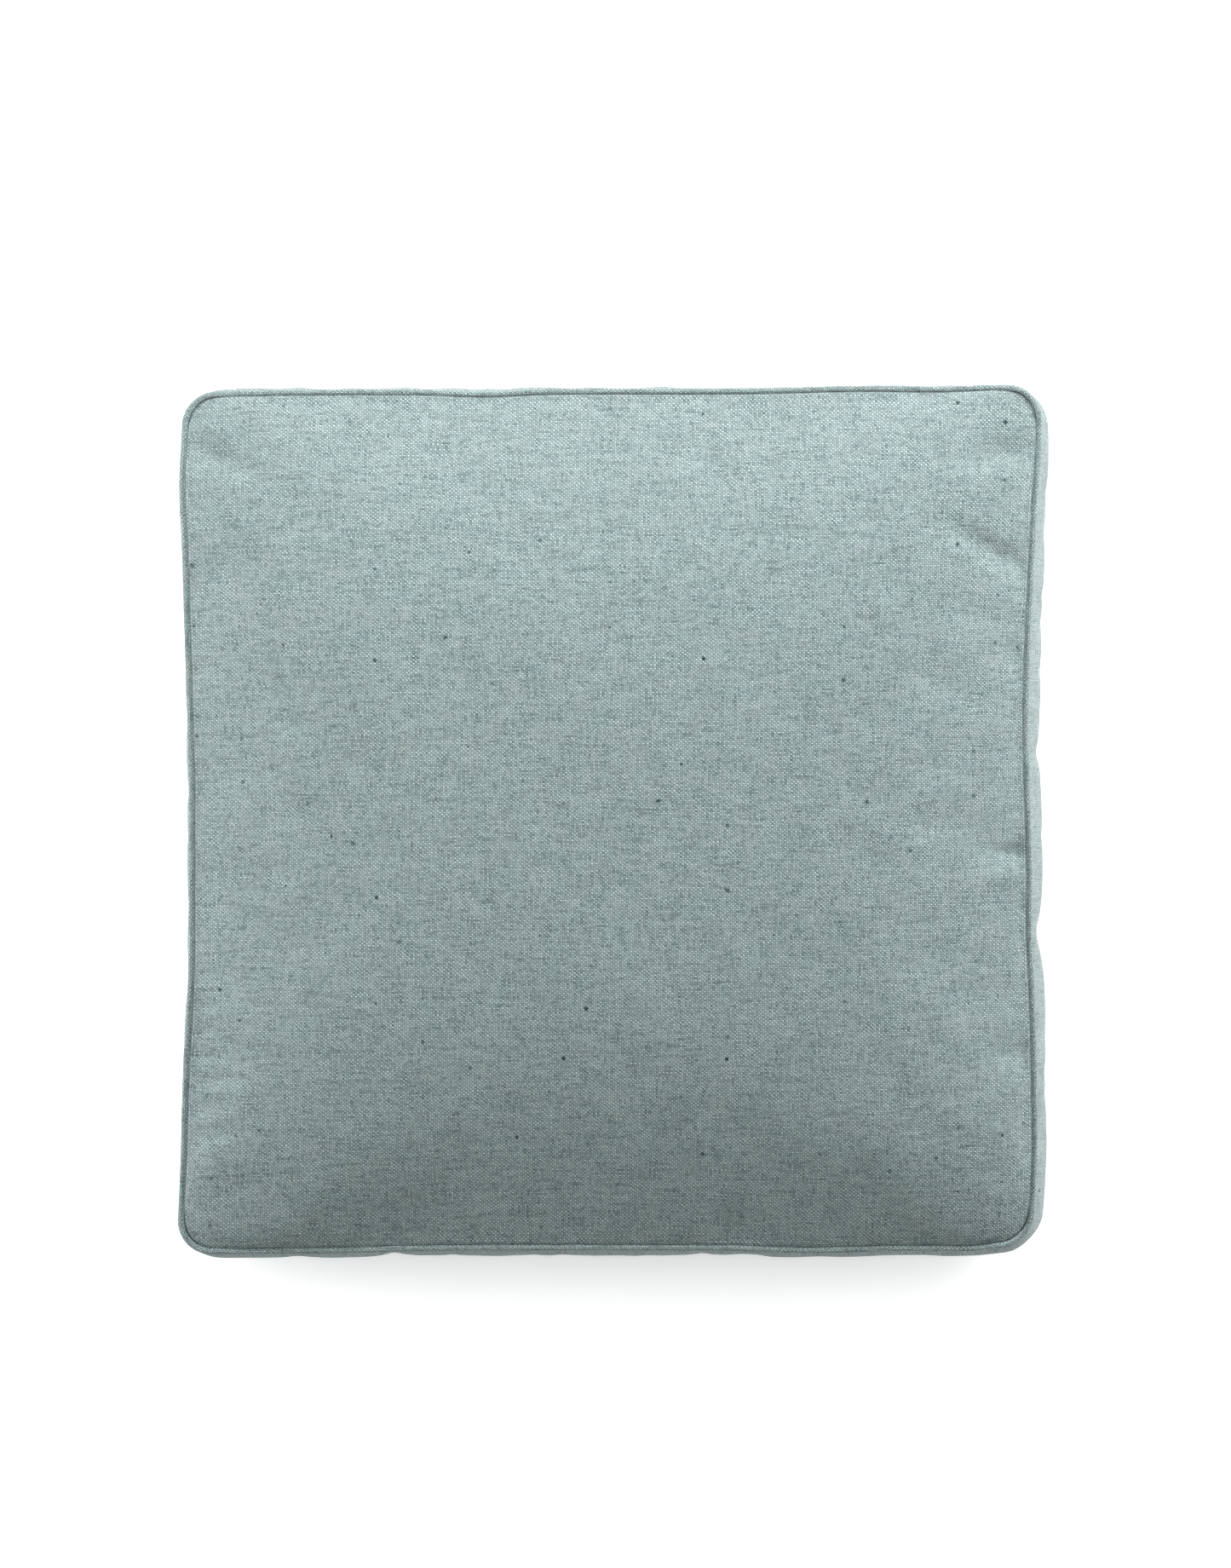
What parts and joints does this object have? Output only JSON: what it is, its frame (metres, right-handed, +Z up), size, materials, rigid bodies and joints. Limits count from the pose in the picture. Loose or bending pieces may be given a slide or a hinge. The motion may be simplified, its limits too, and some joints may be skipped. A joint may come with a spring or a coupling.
{
  "type": "floor cushion",
  "caption": "Square box floor cushion: piped, crowned fabric cover with a zip in its back edge, over a foam and wadding pad.",
  "frame": {"origin": "on the floor under the middle of the cushion: the middle of its outline, at the flat that rests", "axes": "+Z up, out of the crowned top; +Y towards the side with the zip; +X along the zip, towards its closed end"},
  "size_m": [0.606, 0.606, 0.15],
  "materials": {
    "cover_fabric": "matte slubby plain weave",
    "piping_cord": "matte twisted cotton",
    "zip_tape": "matte herringbone tape",
    "zip_coil": "satin",
    "zip_metal": "satin enamel",
    "thread": "satin",
    "casing_fabric": "matte",
    "foam": "matte open cell",
    "wadding": "matte fibre"
  },
  "bodies": {
    "cushion": {"top_panel": "cover_fabric", "bottom_panel": "cover_fabric", "side_band": "cover_fabric", "back_strip_upper": "cover_fabric", "back_strip_lower": "cover_fabric", "piping_top": "cover_fabric", "piping_bottom": "cover_fabric", "piping_top_cord": "piping_cord", "piping_bottom_cord": "piping_cord", "zip_tape_upper": "zip_tape", "zip_tape_lower": "zip_tape", "zip_coil_upper": "zip_coil", "zip_coil_lower": "zip_coil", "zip_stops_closed_end": "zip_metal", "zip_stop_open_end": "zip_metal", "zip_stitching": "thread", "pad_casing_top": "casing_fabric", "pad_casing_band": "casing_fabric", "pad_casing_bottom": "casing_fabric", "foam_core": "foam", "wadding_top": "wadding", "wadding_bottom": "wadding", "wadding_right": "wadding", "wadding_back": "wadding", "wadding_left": "wadding", "wadding_front": "wadding"},
    "zip_slider": {"zip_slider": "zip_metal"},
    "zip_pull": {"zip_pull": "zip_metal"}
  },
  "joints": [
    {"name": "zip_run", "type": "slide", "parent": "cushion", "child": "zip_slider", "axis": [1, 0, 0], "range_m": [-0.4586, 0]},
    {"name": "pull_swing", "type": "hinge", "parent": "zip_slider", "child": "zip_pull", "pos_m": [0.2293, 0.3006, 0.064], "axis": [0, 0, -1], "range_deg": [0, 175]}
  ]
}
